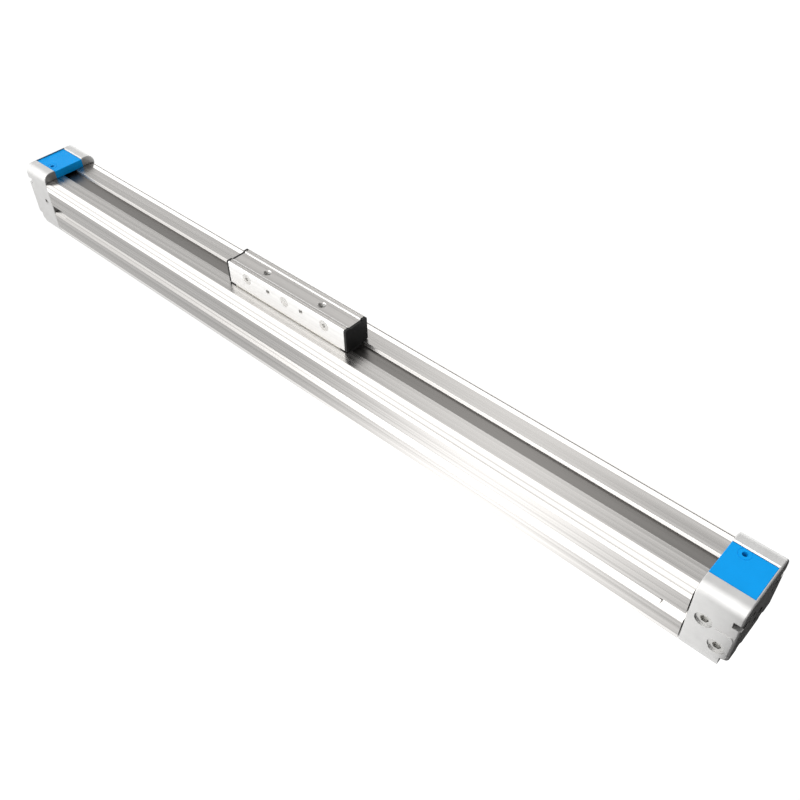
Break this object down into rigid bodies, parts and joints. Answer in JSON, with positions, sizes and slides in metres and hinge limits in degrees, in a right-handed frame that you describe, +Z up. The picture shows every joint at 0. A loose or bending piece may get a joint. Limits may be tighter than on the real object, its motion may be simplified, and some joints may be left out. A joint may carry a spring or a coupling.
{
  "type": "rodless pneumatic cylinder",
  "caption": "Rodless pneumatic cylinder: slotted aluminium barrel with cover band, top carriage, and end caps with blue band covers.",
  "frame": {"origin": "middle of the body's underside, halfway along its length", "axes": "+X along the barrel towards the near end, +Z up through the carriage's top, so -Y is the side with the near cap's ports"},
  "size_m": [0.7, 0.053, 0.07],
  "materials": {
    "anodised_extrusion": "clear anodised, drawn along its length",
    "cast_aluminium": "fine blasted and clear anodised",
    "machined_aluminium": "machined",
    "steel_band": "rolled stainless strip",
    "zinc_steel": "bright zinc",
    "blue_plastic": "satin moulded plastic",
    "black_plastic": "fine grained moulded plastic",
    "guide_plastic": "plain",
    "seal_rubber": "matt",
    "seal_band": "smooth",
    "magnet": "bonded magnet"
  },
  "bodies": {
    "body": {"barrel": "anodised_extrusion", "cover_band": "steel_band", "sealing_band": "seal_band", "end_cap_near": "cast_aluminium", "end_cap_far": "cast_aluminium", "cap_gasket_near": "seal_rubber", "cap_gasket_far": "seal_rubber", "band_cover_near": "blue_plastic", "band_cover_far": "blue_plastic", "band_clamp_near": "machined_aluminium", "band_clamp_far": "machined_aluminium", "cushion_spigot_near": "machined_aluminium", "cushion_spigot_far": "machined_aluminium", "end_buffer_near": "seal_rubber", "end_buffer_far": "seal_rubber", "cap_screws": "zinc_steel", "port_plugs": "zinc_steel", "clamp_screws": "zinc_steel", "cover_screws": "zinc_steel"},
    "carriage": {"carriage": "anodised_extrusion", "carriage_screws": "zinc_steel", "fixing_screws": "zinc_steel", "centring_dowels": "zinc_steel", "slide_strips": "guide_plastic", "end_plate_near": "black_plastic", "end_plate_far": "black_plastic", "band_wiper_near": "seal_rubber", "band_wiper_far": "seal_rubber", "band_guide_near": "guide_plastic", "band_guide_far": "guide_plastic", "driver": "machined_aluminium", "driver_base_screws": "zinc_steel", "piston_body": "machined_aluminium", "piston_head_near": "machined_aluminium", "piston_head_far": "machined_aluminium", "piston_seal_near": "seal_rubber", "piston_seal_far": "seal_rubber", "piston_guide_ring_near": "guide_plastic", "piston_guide_ring_far": "guide_plastic", "piston_magnet_near": "magnet", "piston_magnet_far": "magnet", "cushion_seal_near": "seal_rubber", "cushion_seal_far": "seal_rubber", "piston_pins": "zinc_steel"},
    "cushion_screw_near": {"cushion_screw_near": "zinc_steel"},
    "cushion_screw_far": {"cushion_screw_far": "zinc_steel"}
  },
  "joints": [
    {"name": "carriage_slide", "type": "slide", "parent": "body", "child": "carriage", "axis": [1, 0, 0], "range_m": [-0.226, 0.274], "deforming": ["cover_band", "sealing_band"]},
    {"name": "cushion_near_turn", "type": "hinge", "parent": "body", "child": "cushion_screw_near", "pos_m": [0.328, 0.026, 0.0293], "axis": [0, 1, 0], "range_deg": [-540, 540]},
    {"name": "cushion_far_turn", "type": "hinge", "parent": "body", "child": "cushion_screw_far", "pos_m": [-0.328, -0.026, 0.0293], "axis": [0, -1, 0], "range_deg": [-540, 540]}
  ]
}
